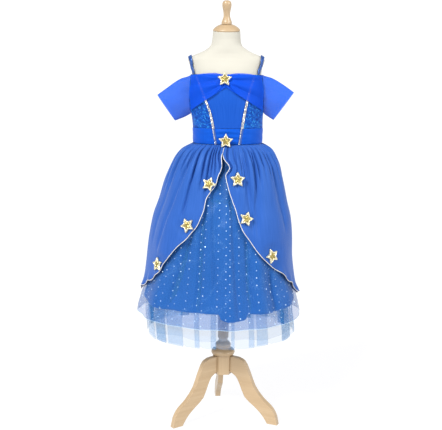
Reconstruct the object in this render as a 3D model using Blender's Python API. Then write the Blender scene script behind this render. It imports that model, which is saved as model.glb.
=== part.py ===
"""Child's costume dress on a limbless dress form with a turned wooden stand.

Metres, +Z up. The front faces -Y and the wearer's left is +X. The origin is on the floor at
the middle of the whole, which reaches farther to the wearer's right, so the pole stands
POLE_X to its left. Every piece is made about the pole and moved there at the end.
Tables hold millimetres and degrees; angles run from the front toward +X.
"""

from math import atan2, cos, degrees, exp, hypot, pi, radians, sin, sqrt

import bmesh
import bpy
from mathutils import Matrix, Vector
from mathutils.bvhtree import BVHTree

MM = 0.001
GAP = 0.3  # between pieces that touch
WALL = 1.0  # skirt cloth
PANEL = 1.6  # bodice cloth
CLEAR = 1.45  # bodice cloth to the form

# Heights of the dress
SKIRT_TOP = 846.7
BAND_BOTTOM = 847.0
BAND_TOP = 893.3
BODICE_TOP = 1046.0
STRAP_FOOT = 1047.2
STRAP_FOOT_REACH = 91.0  # middle of the strap from the pole's plane, at the bodice
STRAP_TOP_REACH = 105.0  # and at the top of the shoulder
STRAP_WIDTH = 12.0
STRAP_STEP = 0.05  # how finely its seat on the shoulder is looked for
ROOT_GAP = 0.6  # sleeve root to the bodice's side

# Stand
POLE_X = 15.0
HUB_BOTTOM = 138.0
HUB_TOP = 197.0
HUB_FLAT = 27.0  # centre to flat
LEG_ANGLES = {"leg_front_left": -24.5, "leg_back": 95.5, "leg_front_right": 215.5}
LEG_THICKNESS = 16.0
POLE_RADIUS = 16.5
POLE_BOTTOM = 250.0
FORM_BOTTOM = 642.0
NECK_TOP = 1170.0
NECK_TILT = 7.0  # forward lean of the neck cap, degrees


class Table:
    """Rows of named columns, read between rows by a monotone cubic on the first column."""

    def __init__(self, columns, *rows):
        self.names = columns.split()
        self.rows = sorted(rows)
        self.at = [row[0] for row in self.rows]
        self.slopes = {name: self.find_slopes(name) for name in self.names[1:]}

    def column(self, name):
        place = self.names.index(name)
        return [row[place] for row in self.rows]

    def find_slopes(self, name):
        values = self.column(name)
        steps = [
            (b - a) / (q - p)
            for a, b, p, q in zip(values, values[1:], self.at, self.at[1:])
        ]
        inner = [
            2 * s * t / (s + t) if s * t > 0 else 0.0 for s, t in zip(steps, steps[1:])
        ]
        return [steps[0]] + inner + [steps[-1]]

    def __call__(self, name, at):
        at = min(max(at, self.at[0]), self.at[-1])
        i = max(k for k in range(len(self.at) - 1) if self.at[k] <= at)
        values = self.column(name)
        slopes = self.slopes[name]
        step = self.at[i + 1] - self.at[i]
        t = (at - self.at[i]) / step
        return (
            values[i] * (1 + 2 * t) * (1 - t) ** 2
            + slopes[i] * step * t * (1 - t) ** 2
            + values[i + 1] * t * t * (3 - 2 * t)
            - slopes[i + 1] * step * t * t * (1 - t)
        )


# The jersey form: reach to the wearer's right and left of the pole, and half depth
FORM = Table(
    "height right left depth",
    (642, 96, 98, 80),
    (660, 104, 106, 87),
    (700, 107, 109, 89),
    (740, 105, 109, 87),
    (780, 101, 107, 83),
    (820, 95, 105, 77),
    (846, 92, 105, 73),
    (893, 93, 106, 74),
    (930, 98, 107, 77),
    (970, 105, 109, 80),
    (1020, 104, 107, 75),
    (1045, 100, 103, 68),
    (1065, 103, 105, 60),
    (1080, 109, 110, 52),
    (1088, 111, 112, 48),
    (1094, 107, 108, 45),
    (1101, 94, 96, 43),
    (1107, 80, 82, 42),
    (1116, 61, 63, 42),
    (1133, 44, 44, 40),
    (1150, 41, 41, 38),
    (1170, 40, 40, 38),
)

# The outer surface of the skirt
SKIRT = Table(
    "height right left depth",
    (260, 254, 240, 190),
    (300, 258, 239, 190),
    (338, 262, 234, 190),
    (398, 255, 228, 188),
    (430, 244, 216, 184),
    (492, 232, 207, 179),
    (575, 220, 201, 171),
    (630, 209, 195, 163),
    (678, 192, 184, 153),
    (736, 175, 172, 140),
    (786, 153, 158, 124),
    (805, 143, 149, 116),
    (825, 128, 137, 104),
    (840, 107, 120, 88),
    (846, 97, 111, 80),
)

# How deep the waist gathers, the long folds and each layer's own ripples are at each height
FULLNESS = Table(
    "height gather fold overlay_ripple satin_ripple",
    (260, 0, 1.0, 2.2, 1.5),
    (398, 0, 1.0, 2.2, 1.3),
    (500, 0, 0.7, 1.8, 1.0),
    (600, 0.25, 0.5, 1.5, 0.8),
    (678, 0.8, 0.35, 1.3, 0.7),
    (736, 1.7, 0.2, 1.2, 0.6),
    (786, 3.2, 0.05, 0.9, 0.5),
    (825, 3.0, 0, 0.5, 0.3),
    (840, 1.2, 0, 0.2, 0.1),
    (847, 0.25, 0, 0.1, 0.1),
)

# Each layer's outer face, measured in from the overskirt's
DEPTH_IN = Table(
    "height overlay satin net_outer net_inner",
    (260, 2.0, 20, 25.0, 31.0),
    (338, 2.5, 18, 26.0, 33.0),
    (398, 8.5, 16.5, 24.5, 31.5),
    (500, 7.8, 14.8, 21.8, 28.8),
    (600, 7.0, 13, 19.5, 26.0),
    (680, 6.0, 11, 16.5, 18.2),
    (700, 6.0, 11, 14.0, 15.4),
    (786, 6.2, 9.8, 12.0, 15.0),
    (825, 5.6, 8.4, 12.0, 15.0),
    (840, 3.2, 5.3, 12.0, 15.0),
    (847, 1.9, 3.5, 12.0, 15.0),
)

# Long folds that every skirt layer follows, as tall as their height at the hem
LONG_FOLDS = [
    {"angle": angle, "height": height, "width": width}
    for angle, height, width in (
        (-165, 4, 14),
        (-140, 5, 13),
        (-115, 5, 14),
        (-88, 6, 12),
        (-52, 6, 12),
        (-20, 3, 9),
        (8, 4, 9),
        (33, 4, 10),
        (60, 6, 12),
        (86, 6, 12),
        (112, 5, 14),
        (138, 5, 13),
        (162, 4, 13),
    )
]
FOLD_MEAN = 5.0

# Creases between the waist gathers, front first
CREASES_LEFT = (0, 5, 12, 18, 24, 30, 37, 44, 52, 60, 70, 80, 91, 102, 113, 124, 135, 146, 157, 168, 180)
CREASES_RIGHT = (0, 5.5, 11, 14.7, 18, 23.6, 34, 43, 53, 66, 79, 92, 103, 114, 125, 136, 147, 158, 169, 180)

# Lower edge of each overskirt half, down the open front and round the hem
EDGE_LEFT = Table(
    "angle height",
    (0, 822),
    (2, 797),
    (3, 765),
    (4.5, 735),
    (6, 704),
    (9.5, 672),
    (12, 640),
    (16.4, 604),
    (24, 570),
    (35, 523),
    (41, 504),
    (50, 489),
    (59, 463),
    (72, 436),
    (84, 402),
    (95, 396),
    (180, 394),
)
EDGE_RIGHT = Table(
    "angle height",
    (0, 826),
    (2.2, 811),
    (3.5, 789),
    (7.4, 760),
    (8.7, 741),
    (13.6, 717),
    (16.8, 695),
    (17.8, 665),
    (19, 650),
    (21.7, 624),
    (27, 602),
    (30, 587),
    (36, 562),
    (45, 524),
    (50, 507),
    (53, 482),
    (60, 460),
    (73, 437),
    (90, 407),
    (100, 397),
    (180, 394),
)
OVERLAY_HEM = Table("angle height", (-180, 330), (-90, 338), (-60, 334), (0, 327), (60, 331), (90, 339), (180, 330))
SATIN_HEM = Table(
    "angle height",
    (-180, 372),
    (-90, 385),
    (-60, 372),
    (-42, 372),
    (-8, 367),
    (0, 350),
    (4, 343),
    (13, 349),
    (17, 366),
    (40, 369),
    (60, 372),
    (90, 385),
    (180, 372),
)
NET_HEM = Table("angle height", (-180, 267), (-90, 276), (-50, 266), (0, 263), (50, 267), (90, 275), (180, 267))
NET_INNER_HEM = 286.0
NET_TOP = 700.0
NET_INNER_TOP = 692.0

# Where the two princess seams run, in millimetres from the pole's plane
SEAMS = Table(
    "height right left",
    (847, 26, 39),
    (890, 33, 45),
    (940, 44, 53),
    (975, 57, 60),
    (1039, 82, 77),
    (1048, 85, 80),
)
TRIM_WIDTH = 6.0
DRAPE_REACH = 70.0  # degrees to each side

# Stars: the panels each one is sewn to, its middle, its turn in degrees and its outer radius
STAR_NOTCH = 0.52  # inner corners, as a share of the radius
STAR_PROBES = 22  # places tried along a star's radius to find its seat
STAR_SEAT = 0.6  # above the highest of them
STAR_PANELS = {
    "star_bust": ("bust_drape",),
    "star_waist": ("waistband", "overskirt_left", "overskirt_right", "seam_trim_left", "seam_trim_right"),
    "star_left_upper": ("overskirt_left",),
    "star_left_middle": ("overskirt_left",),
    "star_left_lower": ("overskirt_left",),
    "star_right_upper": ("overskirt_right",),
    "star_right_middle": ("overskirt_right",),
    "star_right_lower": ("overskirt_right",),
}
STARS = {
    name: {"x": x, "height": height, "turn": turn, "radius": radius}
    for name, x, height, turn, radius in (
        ("star_bust", -4, 1031, -1, 23),
        ("star_waist", 1, 857, 0, 23.5),
        ("star_left_upper", 35, 753, -2, 24),
        ("star_left_middle", 61, 645, -19, 23),
        ("star_left_lower", 137, 534, 18, 24),
        ("star_right_upper", -45, 740, -18, 23),
        ("star_right_middle", -106, 623, 30, 23.5),
        ("star_right_lower", -192, 499, 10, 23),
    )
}

BLUE = (0.06, 0.16, 0.62)
ROYAL = (0.01, 0.10, 0.72)
VELVET = (0.02, 0.13, 0.55)
NET_BLUE = (0.45, 0.68, 0.88)
GOLD = (0.80, 0.66, 0.35)
JERSEY = (0.85, 0.80, 0.70)
WOOD = (0.78, 0.58, 0.34)


def clear_scene():
    for obj in list(bpy.data.objects):
        bpy.data.objects.remove(obj)


def material(name, colour, roughness, metallic=0.0):
    found = bpy.data.materials.get(name)
    if found:
        return found
    made = bpy.data.materials.new(name)
    made.use_nodes = True
    shader = made.node_tree.nodes["Principled BSDF"]
    shader.inputs["Base Color"].default_value = (*colour, 1.0)
    shader.inputs["Roughness"].default_value = roughness
    shader.inputs["Metallic"].default_value = metallic
    return made


def add_object(name, mesh_data, finish):
    """An object from a bmesh, its faces turned outward and shaded smooth."""
    bmesh.ops.recalc_face_normals(mesh_data, faces=mesh_data.faces)
    mesh = bpy.data.meshes.new(name)
    mesh_data.to_mesh(mesh)
    mesh_data.free()
    mesh.materials.append(finish)
    mesh.shade_smooth()
    mesh.set_sharp_from_angle(angle=radians(50))
    obj = bpy.data.objects.new(name, mesh)
    bpy.context.scene.collection.objects.link(obj)
    return obj


def base_point(shape, angle, height):
    a = radians(angle)
    reach = shape("left" if sin(a) > 0 else "right", height)
    return Vector((reach * sin(a), -shape("depth", height) * cos(a), height))


def outward(shape, angle, height):
    across = base_point(shape, angle + 1, height) - base_point(shape, angle - 1, height)
    up = base_point(shape, angle, height + 2) - base_point(shape, angle, height - 2)
    return across.cross(up).normalized()


def moved_out(shape, angle, height, distance):
    """A point of the shape's surface, moved out from it, in metres."""
    return (base_point(shape, angle, height) + distance * outward(shape, angle, height)) * MM


def wall(name, outer, inner, closed, finish):
    """A cloth wall between two grids of points: rows run down, columns toward +X at the front.

    Both sides are cut along the same diagonals, so a twisted stretch keeps its thickness.
    """
    made = bmesh.new()
    out = [[made.verts.new(point) for point in row] for row in outer]
    within = [[made.verts.new(point) for point in row] for row in inner]
    rows = len(out)
    columns = len(out[0])
    spans = columns if closed else columns - 1
    for c in range(spans):
        d = (c + 1) % columns
        for r in range(rows - 1):
            made.faces.new((out[r][c], out[r + 1][c], out[r + 1][d]))
            made.faces.new((out[r][c], out[r + 1][d], out[r][d]))
            made.faces.new((within[r][c], within[r + 1][d], within[r + 1][c]))
            made.faces.new((within[r][c], within[r][d], within[r + 1][d]))
        made.faces.new((out[0][c], out[0][d], within[0][d], within[0][c]))
        made.faces.new((out[-1][d], out[-1][c], within[-1][c], within[-1][d]))
    if not closed:
        for r in range(rows - 1):
            made.faces.new((out[r][0], within[r][0], within[r + 1][0], out[r + 1][0]))
            made.faces.new((out[r + 1][-1], within[r + 1][-1], within[r][-1], out[r][-1]))
    return add_object(name, made, finish)


def turned(name, profile, sides, finish):
    """A turned piece about Z from (radius, height) pairs, bottom first."""
    made = bmesh.new()
    rings = [
        [
            made.verts.new((radius * cos(2 * pi * k / sides) * MM, radius * sin(2 * pi * k / sides) * MM, height * MM))
            for k in range(sides)
        ]
        for radius, height in profile
    ]
    for low, high in zip(rings, rings[1:]):
        for k in range(sides):
            j = (k + 1) % sides
            made.faces.new((low[k], low[j], high[j], high[k]))
    made.faces.new(rings[0][::-1])
    made.faces.new(rings[-1])
    return add_object(name, made, finish)


def make_stand():
    wood = material("stand_wood", WOOD, 0.45)
    hub = bmesh.new()
    across = HUB_FLAT / cos(pi / 6)
    corners = [radians(LEG_ANGLES["leg_back"] + 30 + 60 * k) for k in range(6)]
    base = hub.faces.new([hub.verts.new((across * cos(a) * MM, across * sin(a) * MM, HUB_BOTTOM * MM)) for a in corners])
    raised = bmesh.ops.extrude_face_region(hub, geom=[base])["geom"]
    top = [v for v in raised if isinstance(v, bmesh.types.BMVert)]
    bmesh.ops.translate(hub, verts=top, vec=(0, 0, (HUB_TOP - HUB_BOTTOM) * MM))
    add_object("stand_hub", hub, wood)
    turned(
        "stand_collar",
        (
            (30, HUB_TOP + GAP),
            (35, 201),
            (36, 208),
            (33, 214),
            (26, 218),
            (23, 222),
            (24, 227),
            (21, 234),
            (15, 240),
            (13.5, 245),
            (14.5, POLE_BOTTOM - GAP),
        ),
        20,
        wood,
    )
    turned("stand_pole", ((POLE_RADIUS, POLE_BOTTOM), (POLE_RADIUS, FORM_BOTTOM - GAP)), 24, wood)
    for name, angle in LEG_ANGLES.items():
        make_leg(name, angle, wood)


def make_leg(name, angle, finish):
    """A flat S-curved board, cut from its upper and lower edges and chamfered."""
    upper = Table(
        "reach height",
        (HUB_FLAT + GAP, 194),
        (50, 193),
        (72, 184),
        (90, 150),
        (107, 109),
        (136, 74),
        (165, 50),
        (179, 27),
        (185, 0),
    )
    lower = Table(
        "reach height",
        (HUB_FLAT + GAP, 146),
        (48, 133),
        (60, 111),
        (77, 73),
        (107, 49),
        (130, 30),
        (148, 7),
        (152, 0),
    )
    over_reaches = (HUB_FLAT + GAP, 40, 55, 66, 72, 80, 90, 98, 107, 120, 136, 150, 160, 168, 174, 179, 183, 185)
    under_reaches = (152, 148, 140, 130, 118, 107, 92, 77, 68, 60, 54, 48, 38, HUB_FLAT + GAP)
    outline = [(r, upper("height", r)) for r in over_reaches]
    outline += [(r, lower("height", r)) for r in under_reaches]
    made = bmesh.new()
    half = LEG_THICKNESS / 2
    face = made.faces.new([made.verts.new((r * MM, -half * MM, z * MM)) for r, z in outline])
    raised = bmesh.ops.extrude_face_region(made, geom=[face])["geom"]
    side = [v for v in raised if isinstance(v, bmesh.types.BMVert)]
    bmesh.ops.translate(made, verts=side, vec=(0, LEG_THICKNESS * MM, 0))
    bmesh.ops.rotate(made, verts=made.verts, cent=(0, 0, 0), matrix=Matrix.Rotation(radians(angle), 3, "Z"))
    add_object(name, made, finish)


def make_form():
    """The torso, with its neck cut on the cap's lean, then the cap and handle."""
    made = bmesh.new()
    sides = 28
    heights = (642, 660, 700, 760, 820, 846, 893, 930, 970, 1020, 1050, 1075, 1088, 1096, 1102, 1107, 1116, 1133, 1150, NECK_TOP)
    rings = []
    for height in heights:
        ring = []
        for k in range(sides):
            point = base_point(FORM, 360 * k / sides, height)
            lean = max(0.0, (height - 1133) / (NECK_TOP - 1133))
            point.z += lean * point.y * sin(radians(NECK_TILT))
            ring.append(made.verts.new(point * MM))
        rings.append(ring)
    for low, high in zip(rings, rings[1:]):
        for k in range(sides):
            j = (k + 1) % sides
            made.faces.new((low[k], low[j], high[j], high[k]))
    made.faces.new(rings[0][::-1])
    made.faces.new(rings[-1])
    add_object("form_torso", made, material("jersey", JERSEY, 0.9))
    wood = material("cap_wood", WOOD, 0.45)
    lean = Matrix.Rotation(radians(NECK_TILT), 4, "X")
    cap = turned("neck_cap", ((38.5, 0.4), (39.5, 2.5), (38, 5.5), (34, 10), (27, 15), (19, 18.4), (14, 19.6)), 28, wood)
    handle = turned(
        "neck_handle",
        ((15.3, 20), (14.6, 28), (11, 36), (9.6, 44), (10, 54), (12.4, 64), (13.4, 72), (12.8, 80), (9, 85.5), (3.5, 87)),
        20,
        wood,
    )
    for piece in (cap, handle):
        piece.matrix_world = Matrix.Translation((0, 0, NECK_TOP * MM)) @ lean


def steps_between(start, end, count):
    return [start + (end - start) * k / count for k in range(count + 1)]


def panel(name, left_edge, right_edge, top, columns, rows, finish):
    """A bodice panel between two edges, each the angle at a height, and up to its top's height."""
    outer = []
    inner = []
    for r in range(rows + 1):
        outer_row = []
        inner_row = []
        for c in range(columns + 1):
            share = c / columns
            height = top + (BAND_TOP + GAP - top) * r / rows
            angle = left_edge(height) + (right_edge(height) - left_edge(height)) * share
            outer_row.append(moved_out(FORM, angle, height, CLEAR + PANEL))
            inner_row.append(moved_out(FORM, angle, height, CLEAR))
        outer.append(outer_row)
        inner.append(inner_row)
    return wall(name, outer, inner, False, finish)


def seam_angle(side, height):
    """The princess seam's angle at a height, on the side named right or left."""
    share = SEAMS(side, height) / FORM(side, height)
    angle = degrees(atan2(share, sqrt(1 - share * share)))
    return angle if side == "left" else -angle


def make_bodice():
    satin = material("bodice_satin", BLUE, 0.4)
    velvet = material("sequin_velvet", VELVET, 0.35)
    slit = 0.1  # degrees either side of a seam
    seams = {side: (lambda height, side=side: seam_angle(side, height)) for side in ("right", "left")}
    panel(
        "bodice_front_centre",
        lambda z: seams["right"](z) + slit,
        lambda z: seams["left"](z) - slit,
        BODICE_TOP,
        8,
        5,
        satin,
    )
    panel("bodice_side_left", lambda z: seams["left"](z) + slit, lambda z: 90 - slit, BODICE_TOP, 8, 5, velvet)
    panel("bodice_side_right", lambda z: slit - 90, lambda z: seams["right"](z) - slit, BODICE_TOP, 8, 5, velvet)
    panel("bodice_back_left", lambda z: 90 + slit, lambda z: 180 - slit, BODICE_TOP, 11, 5, satin)
    panel("bodice_back_right", lambda z: slit - 180, lambda z: -90 - slit, BODICE_TOP, 11, 5, satin)
    columns = steps_between(-180 + slit, 180 - slit, 48)
    heights = (BAND_TOP, 870, BAND_BOTTOM)
    wall(
        "waistband",
        [[moved_out(FORM, a, z, 4.4) for a in columns] for z in heights],
        [[moved_out(FORM, a, z, 2.4) for a in columns] for z in heights],
        False,
        material("royal_satin", ROYAL, 0.45),
    )
    make_trims()


def make_trims():
    """The sequin bands over the two front seams, up over the waistband's edge."""
    gold = material("gold_trim", GOLD, 0.3, 0.8)
    base = Table("height out", (847, 5.0), (894.5, 5.0), (899, 3.7), (1046, 3.7))
    heights = (1040, 1020, 1000, 975, 950, 925, 905, 899, 894.5, 870, 848)
    for side in ("right", "left"):
        outer = []
        inner = []
        for height in heights:
            middle = seam_angle(side, height)
            half = degrees(TRIM_WIDTH / 2 / FORM("depth", height))
            angles = (middle - half, middle, middle + half)
            out = base("out", height)
            outer.append([moved_out(FORM, a, height, out + 1.2) for a in angles])
            inner.append([moved_out(FORM, a, height, out) for a in angles])
        wall(f"seam_trim_{side}", outer, inner, False, gold)


def drape_out(angle, height):
    """How far the drape's folds stand out: they fan from the star to each side."""
    across = FORM("left" if angle > 0 else "right", height) * abs(sin(radians(angle)))
    fan = degrees(atan2(height - 1033, across + 8))
    swell = min(1.0, across / 35) * (1.0 - 0.55 * across / 105)
    folds = 0.5 + 0.5 * sin(radians(fan * 14 + (40 if angle > 0 else 0)))
    return 0.4 + 3.2 * swell * folds


def make_drape():
    columns = steps_between(-DRAPE_REACH, DRAPE_REACH, 30)
    rows = 7
    outer = []
    inner = []
    for r in range(rows + 1):
        outer_row = []
        inner_row = []
        for angle in columns:
            across = 106 * abs(sin(radians(angle)))
            top = 1043 + 6 * sin(radians(min(180.0, across * 2.1)))
            low = 1010 - 0.66 * across
            height = top + (low - top) * r / rows
            out = 5.2 + drape_out(angle, height)
            outer_row.append(moved_out(FORM, angle, height, out + 1.0))
            inner_row.append(moved_out(FORM, angle, height, out))
        outer.append(outer_row)
        inner.append(inner_row)
    wall("bust_drape", outer, inner, False, material("chiffon", ROYAL, 0.6))


def side_reach(side, y, height, out):
    """How far the bodice stands out at the wearer's side, at a depth and height."""
    reach = FORM(side, height) + out
    depth = FORM("depth", height) + out
    return reach * sqrt(1 - (y / depth) ** 2)


# Sleeve tubes: middle, width across the flat and depth from the bodice to the cuff
SLEEVES = {
    side: Table("share across middle width depth lean", *rows)
    for side, rows in (
        (
            "right",
            (
                (0, 104, 990, 112, 44, 0),
                (0.3, 127, 977, 106, 42, 16),
                (0.65, 151, 962, 98, 36, 27),
                (1, 175, 948, 91, 28, 35),
            ),
        ),
        (
            "left",
            (
                (0, 107, 996, 104, 44, 0),
                (0.3, 127, 984, 104, 42, 16),
                (0.65, 149, 970, 102, 36, 28),
                (1, 170, 956, 100, 28, 36),
            ),
        ),
    )
}


def make_sleeve(side):
    """A flattened stiff tube, open at both ends, its root against the bodice's side."""
    shape = SLEEVES[side]
    sign = 1 if side == "left" else -1
    sides = 20
    grids = {"outer": [], "inner": []}
    for share in (0, 0.3, 0.65, 1):
        for grid, thin in (("outer", 0.0), ("inner", 1.2)):
            width = shape("width", share) / 2 - thin
            depth = shape("depth", share) / 2 - thin
            lean = radians(shape("lean", share))
            ring = []
            for k in range(sides):
                turn = 2 * pi * k / sides
                along = width * cos(turn)
                y = -depth * sin(turn)
                height = shape("middle", share) + along * cos(lean)
                x = shape("across", share) + along * sin(lean)
                if share == 0:
                    x = side_reach(side, y, height, CLEAR + PANEL) + ROOT_GAP
                ring.append(Vector((sign * x, y, height)) * MM)
            grids[grid].append(ring if side == "left" else ring[::-1])
    wall(f"sleeve_{side}", grids["outer"], grids["inner"], True, material("net_sleeve", ROYAL, 0.5))


def over_shoulder(side, x, turn, out):
    """Where a line out from inside the shoulder, turned up from the front, leaves the form."""


    def held(x, far):
        y = far * cos(turn)
        height = STRAP_FOOT + far * sin(turn)
        return height < NECK_TOP and (x / FORM(side, height)) ** 2 + (y / FORM("depth", height)) ** 2 < 1

    far = 100.0
    while not held(x, far):
        far -= STRAP_STEP
        if far < 0:
            far = 100.0
            x -= 0.5
    sign = 1 if side == "left" else -1
    place = Vector((sign * x, -far * cos(turn), STRAP_FOOT + far * sin(turn)))
    angle = degrees(atan2(place.x / FORM(side, place.z), -place.y / FORM("depth", place.z)))
    return (place + out * outward(FORM, angle, place.z)) * MM


def make_straps():
    glitter = material("glitter_strap", BLUE, 0.35)
    turns = [radians(a) for a in (0, 12, 24, 36, 46, 56, 65, 73, 81, 90, 99, 107, 115, 124, 134, 144, 156, 168, 180)]
    for side in ("right", "left"):
        outer = []
        inner = []
        for turn in turns:
            middle = STRAP_FOOT_REACH + (STRAP_TOP_REACH - STRAP_FOOT_REACH) * sin(turn) ** 2
            edges = (middle - STRAP_WIDTH / 2, middle, middle + STRAP_WIDTH / 2)
            outer.append([over_shoulder(side, x, turn, 3.9) for x in edges])
            inner.append([over_shoulder(side, x, turn, 2.7) for x in edges])
        wall(f"strap_{side}", outer, inner, False, glitter)


def wrapped(angle):
    return (angle + 180) % 360 - 180


def long_folds(angle):
    total = -FOLD_MEAN
    for fold in LONG_FOLDS:
        away = wrapped(angle - fold["angle"]) / fold["width"]
        total += fold["height"] * exp(-away * away)
    return total


def tube_wave(angle, creases):
    """From -1 in each crease to 1 on the rounded fold between, less for a narrow fold."""
    for low, high in zip(creases, creases[1:]):
        if low <= angle <= high:
            middle = abs(2 * (angle - low) / (high - low) - 1)
            return (1 - 2 * middle**3) * min(1.0, sqrt((high - low) / 11))
    return -1.0


def ripple(angle, count, sway):
    """A soft, uneven wave round the skirt."""
    return sin(radians(angle * count + sway * sin(radians(3 * angle)) * 20))


def skirt_point(angle, height, inward, own):
    return moved_out(SKIRT, angle, height, FULLNESS("fold", height) * long_folds(angle) - inward + own)


def columns_in(creases, first, last):
    """Three columns to each gather: one in its crease and two on its fold."""
    angles = []
    for low, high in zip(creases, creases[1:]):
        angles += [low, low + (high - low) / 3, low + 2 * (high - low) / 3]
    angles.append(creases[-1])
    angles[0] = first
    angles[-1] = last
    return angles


def make_overskirt(side):
    creases, edge = (CREASES_LEFT, EDGE_LEFT) if side == "left" else (CREASES_RIGHT, EDGE_RIGHT)
    sign = 1 if side == "left" else -1
    slit = 0.15
    angles = columns_in(creases, slit, 180 - slit)
    shares = (0, 0.04, 0.12, 0.26, 0.45, 0.66, 0.84, 1)
    outer = []
    inner = []
    for share in shares:
        outer_row = []
        inner_row = []
        for angle in angles:
            height = SKIRT_TOP + (edge("height", angle) - SKIRT_TOP) * share
            own = FULLNESS("gather", height) * tube_wave(angle, creases)
            outer_row.append(skirt_point(sign * angle, height, 0, own))
            inner_row.append(skirt_point(sign * angle, height, WALL, own))
        outer.append(outer_row if side == "left" else outer_row[::-1])
        inner.append(inner_row if side == "left" else inner_row[::-1])
    wall(f"overskirt_{side}", outer, inner, False, material("satin", BLUE, 0.4))


def round_layer(name, layer, top, hem, columns, shares, own, thick, finish):
    """One closed skirt layer: its hem and its own folds are functions of angle and height."""
    outer = []
    inner = []
    for share in shares:
        outer_row = []
        inner_row = []
        for angle in columns:
            height = top + (hem(angle) - top) * share
            inward = DEPTH_IN(layer, height)
            fold = own(angle, height)
            outer_row.append(skirt_point(angle, height, inward, fold))
            inner_row.append(skirt_point(angle, height, inward + thick, fold))
        outer.append(outer_row)
        inner.append(inner_row)
    wall(name, outer, inner, True, finish)


def pleat_wave(angle, count):
    """Flat pleats: a narrow crease, then a level fold."""
    place = (angle / 360 * count) % 1.0
    return 1 - 2 * abs(2 * place - 1) ** 3


def make_skirt_layers():
    overlay_columns = [wrapped(5.4545 * k) for k in range(66)]
    round_layer(
        "sparkle_overlay",
        "overlay",
        SKIRT_TOP,
        lambda a: OVERLAY_HEM("height", a),
        overlay_columns,
        (0, 0.04, 0.13, 0.35, 0.65, 1),
        lambda a, z: FULLNESS("overlay_ripple", z) * ripple(a, 16, 1.0),
        WALL,
        material("sparkle_net", BLUE, 0.5),
    )
    satin_columns = [wrapped(6.6667 * k) for k in range(54)]
    round_layer(
        "underskirt",
        "satin",
        SKIRT_TOP,
        lambda a: SATIN_HEM("height", a),
        satin_columns,
        (0, 0.04, 0.13, 0.35, 0.65, 1),
        lambda a, z: FULLNESS("satin_ripple", z) * ripple(a, 11, 1.4),
        WALL,
        material("satin", BLUE, 0.4),
    )
    net = material("petticoat_net", NET_BLUE, 0.6)
    pleats = 28
    net_columns = [wrapped(360 * k / (3 * pleats)) for k in range(3 * pleats)]
    grow = Table("height pleat", (260, 2.0), (340, 1.6), (500, 1.0), (660, 0.5), (700, 0.0))
    round_layer(
        "petticoat_outer",
        "net_outer",
        NET_TOP,
        lambda a: NET_HEM("height", a),
        net_columns,
        (0, 0.1, 0.5, 1),
        lambda a, z: grow("pleat", z) * pleat_wave(a, pleats),
        WALL,
        net,
    )
    inner_columns = [wrapped(7.2 * k) for k in range(50)]
    round_layer(
        "petticoat_inner",
        "net_inner",
        NET_INNER_TOP,
        lambda a: NET_INNER_HEM,
        inner_columns,
        (0, 0.12, 0.5, 1),
        lambda a, z: 0.5 * grow("pleat", z) * ripple(a, 14, 1.0),
        WALL,
        net,
    )


def joined_tree(names):
    """One search tree over the named panels' faces."""
    points = []
    faces = []
    for name in names:
        mesh = bpy.data.objects[name].data
        start = len(points)
        points += [v.co.copy() for v in mesh.vertices]
        faces += [[start + v for v in face.vertices] for face in mesh.polygons]
    return BVHTree.FromPolygons(points, faces)


def star_edge(angle):
    """How far a star reaches at an angle from its first point, as a share of its radius."""
    off = radians(abs((angle - 90 + 36) % 72 - 36))
    notch = STAR_NOTCH * cos(pi / 5), STAR_NOTCH * sin(pi / 5)
    return notch[1] / (notch[1] * cos(off) + (1 - notch[0]) * sin(off))


def star_seat(tree, shape, x, height, radius, turn):
    """The frame of a star's back: where it rests on the panels, just clear of their highest folds."""
    side = "left" if x > 0 else "right"
    reach = shape(side, height)
    angle = degrees(atan2(x, sqrt(max(1.0, reach * reach - x * x))))
    facing = outward(shape, angle, height)
    middle = moved_out(shape, angle, height, 0)
    for _ in range(2):
        across = Vector((0, 0, 1)).cross(facing).normalized()
        upward = facing.cross(across)
        normals = Vector()
        highest = -1.0
        steps = range(-STAR_PROBES, STAR_PROBES + 1)
        for i in steps:
            for j in steps:
                offset = (across * i + upward * j) * radius * MM / STAR_PROBES
                reach = hypot(i, j) / STAR_PROBES
                if reach > star_edge(degrees(atan2(j, i)) - turn):
                    continue
                start = middle + offset + facing * 0.06
                hit, normal, _, distance = tree.ray_cast(start, -facing, 0.1)
                if hit is None:
                    continue
                highest = max(highest, 0.06 - distance)
                normals += normal if normal.dot(facing) > 0 else -normal
        facing = normals.normalized()
    return middle, across, upward, highest + STAR_SEAT * MM


def make_star(name):
    """A padded five-point star: a raised rim and a sunk middle on a flat back."""
    row = STARS[name]
    shape = FORM if name in ("star_bust", "star_waist") else SKIRT
    tree = joined_tree(STAR_PANELS[name])
    middle, across, upward, lift = star_seat(tree, shape, row["x"], row["height"], row["radius"], row["turn"])
    facing = across.cross(upward)
    made = bmesh.new()

    def point(scale, k, rise):
        reach = row["radius"] * scale * (1.0 if k % 2 == 0 else STAR_NOTCH) * MM
        turn = radians(90 + 36 * k + row["turn"])
        place = across * reach * cos(turn) + upward * reach * sin(turn)
        return made.verts.new(middle + place + facing * (lift + rise * MM))

    rings = [[point(scale, k, rise) for k in range(10)] for scale, rise in ((0.97, 0), (1.0, 2.6), (0.7, 6.6))]
    centre = made.verts.new(middle + facing * (lift + 5.2 * MM))
    for low, high in zip(rings, rings[1:]):
        for k in range(10):
            j = (k + 1) % 10
            made.faces.new((low[k], low[j], high[j], high[k]))
    for k in range(10):
        made.faces.new((rings[-1][k], rings[-1][(k + 1) % 10], centre))
    made.faces.new(rings[0][::-1])
    add_object(name, made, material("gold_foil", GOLD, 0.3, 0.9))


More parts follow.
